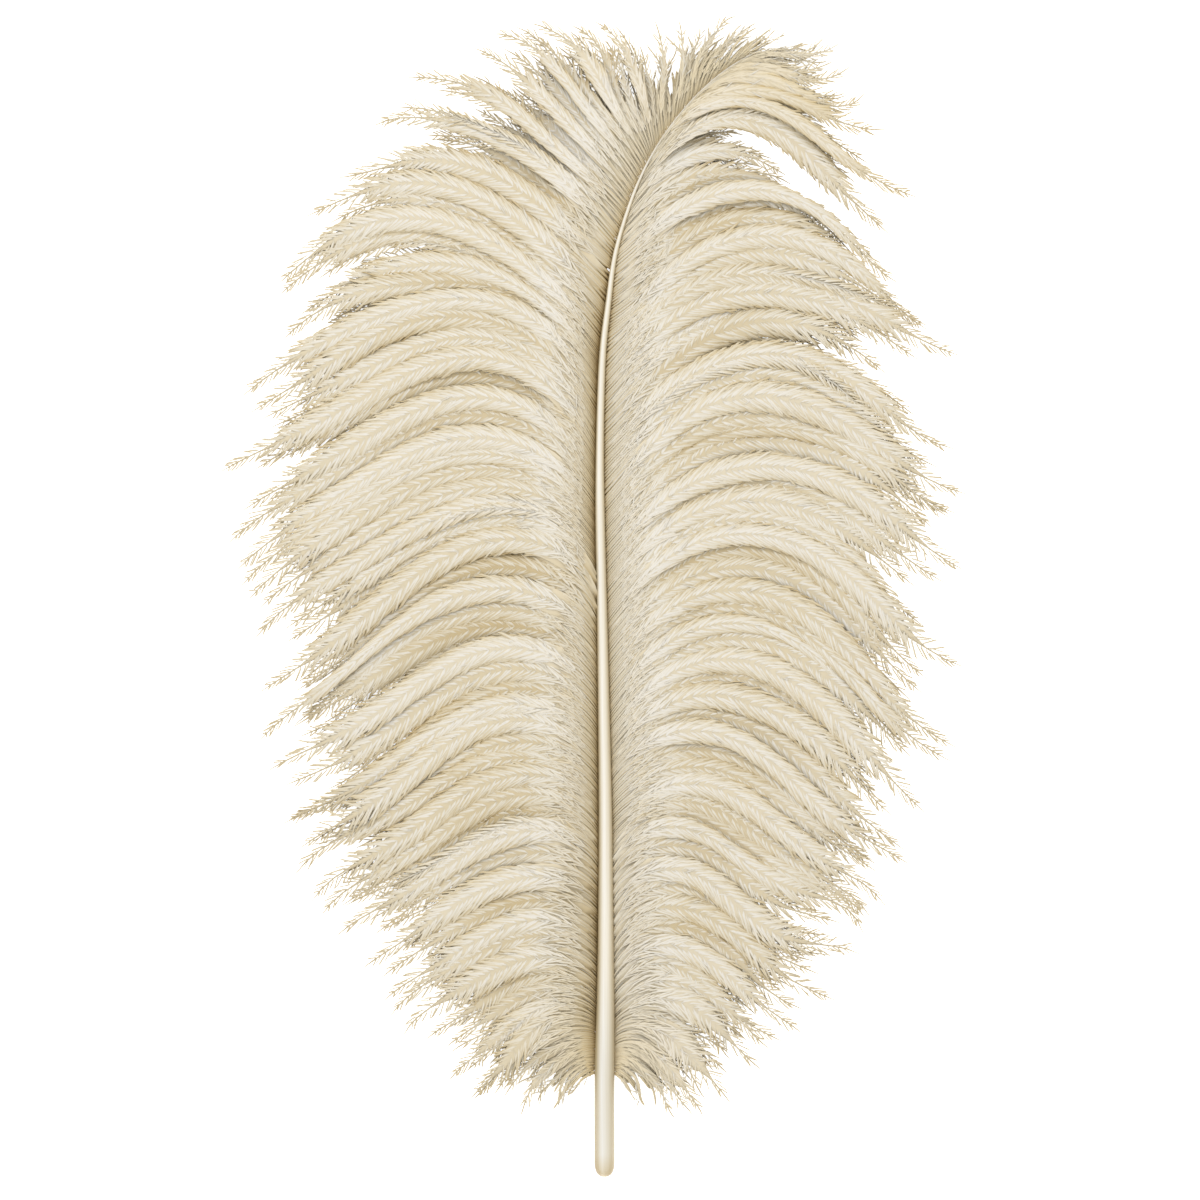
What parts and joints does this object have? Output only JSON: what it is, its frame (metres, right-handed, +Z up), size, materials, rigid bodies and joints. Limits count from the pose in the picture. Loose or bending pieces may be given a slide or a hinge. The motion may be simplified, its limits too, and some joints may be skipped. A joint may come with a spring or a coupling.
{
  "type": "ostrich feather",
  "caption": "Large cream ostrich wing plume lying flat: a bare tapering quill and two wide, soft vanes of drooping barbs, curling over at the tip.",
  "frame": {"origin": "centre of the underside of the plume's bounding box, on the surface that it lies on", "axes": "+Y along the shaft from the quill end to the tip; +X to the right of the shaft seen from above; +Z up, out of the face of the feather"},
  "size_m": [0.3176, 0.4992, 0.0133],
  "materials": {
    "quill": "smooth glossy ivory keratin",
    "barbs": "matte to silky cream down, tan towards the barb tips"
  },
  "bodies": {
    "root": {"shaft": "quill", "vane_left": "barbs", "vane_right": "barbs"}
  },
  "joints": []
}
